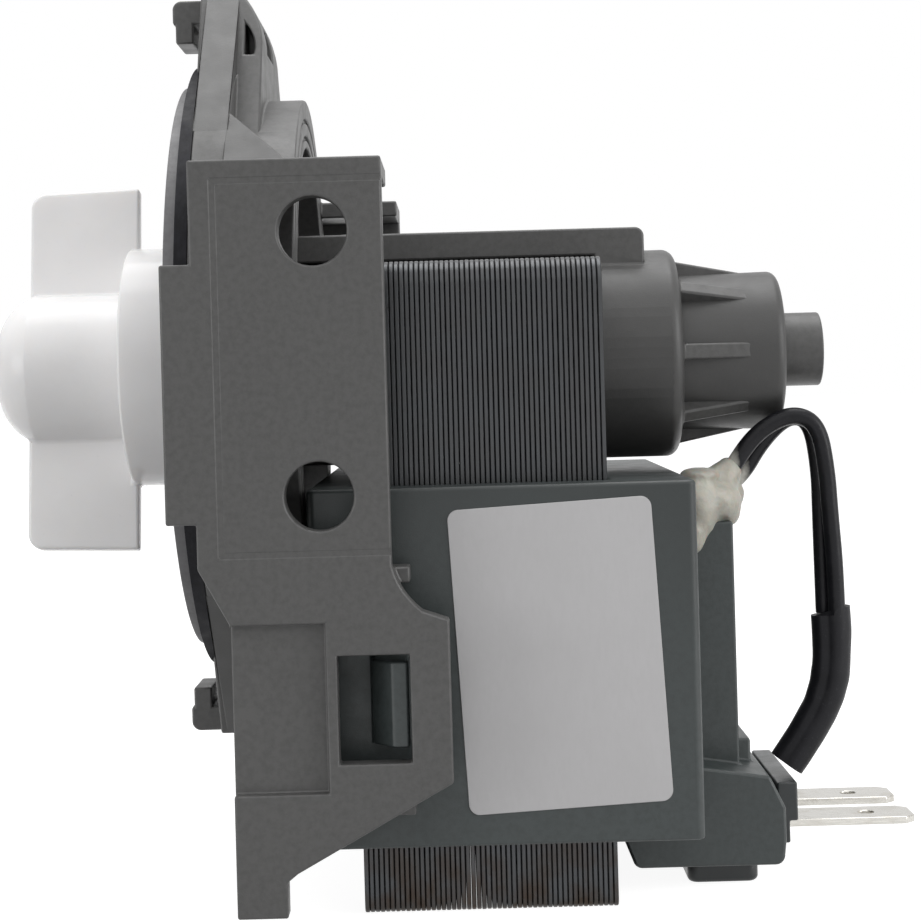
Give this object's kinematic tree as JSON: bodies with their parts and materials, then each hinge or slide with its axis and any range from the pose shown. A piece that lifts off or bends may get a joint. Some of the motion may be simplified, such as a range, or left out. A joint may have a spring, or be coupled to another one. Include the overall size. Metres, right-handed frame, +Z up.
{
  "type": "dishwasher drain pump",
  "caption": "Synchronous drain pump with bladed impeller, bayonet flange, bracketed rotor can, laminated stator, encased coils and flat terminals.",
  "frame": {"origin": "on the pump's axis, at the front face of the cover disc that meets the sump", "axes": "+X along the axis from the impeller to the motor's tail, +Z up from the yoke to the rotor can, +Y away from the label side"},
  "size_m": [0.1006, 0.07, 0.0985],
  "materials": {
    "body_plastic": "mid grey moulded plastic, fine matte grain",
    "cover_plastic": "pale grey moulded plastic",
    "gasket_rubber": "black rubber",
    "mount_rubber": "black rubber",
    "bearing_carbon": "dark carbon bush",
    "washer_plastic": "natural plastic",
    "shaft_steel": "ground stainless steel",
    "magnet_ferrite": "black ferrite",
    "sleeve_plastic": "dark moulded plastic",
    "impeller_plastic": "white moulded plastic, slight gloss",
    "core_steel": "stacked steel laminations, lightly varnished",
    "bobbin_plastic": "black moulded plastic",
    "winding_copper": "enamelled copper wire",
    "casing_plastic": "dark grey-green moulded plastic",
    "holder_plastic": "black moulded plastic",
    "tab_metal": "tinned brass",
    "label_paper": "pale satin label stock",
    "glue": "cream glue",
    "lead_sleeving": "sleeving, white at the root and black above",
    "heat_shrink": "black heat-shrink sleeve",
    "fuse_metal": "metal-cased thermal fuse"
  },
  "bodies": {
    "root": {"pump_body": "body_plastic", "front_cover": "cover_plastic", "flange_gasket": "gasket_rubber", "cover_seal": "gasket_rubber", "front_bearing_mount": "mount_rubber", "rear_bearing_mount": "mount_rubber", "front_bearing": "bearing_carbon", "rear_bearing": "bearing_carbon", "stator_core": "core_steel", "near_bobbin": "bobbin_plastic", "far_bobbin": "bobbin_plastic", "near_winding": "winding_copper", "far_winding": "winding_copper", "coil_casing": "casing_plastic", "terminal_holder": "holder_plastic", "near_terminal": "tab_metal", "far_terminal": "tab_metal", "rating_label": "label_paper", "potting_bead": "glue", "near_lead": "lead_sleeving", "far_lead": "lead_sleeving", "heat_shrink_sleeve": "heat_shrink", "thermal_fuse": "fuse_metal"},
    "rotor": {"shaft": "shaft_steel", "magnet_sleeve": "sleeve_plastic", "rotor_magnet": "magnet_ferrite", "drive_dog": "sleeve_plastic", "front_thrust_washer": "washer_plastic", "rear_thrust_washer": "washer_plastic"},
    "impeller": {"impeller": "impeller_plastic", "hub_cap": "impeller_plastic"}
  },
  "joints": [
    {"name": "rotor_spin", "type": "hinge", "parent": "root", "child": "rotor", "pos_m": [0, 0, 0], "axis": [1, 0, 0], "continuous": true},
    {"name": "impeller_lag", "type": "hinge", "parent": "rotor", "child": "impeller", "pos_m": [0, 0, 0], "axis": [1, 0, 0], "range_deg": [-138, 138]}
  ]
}
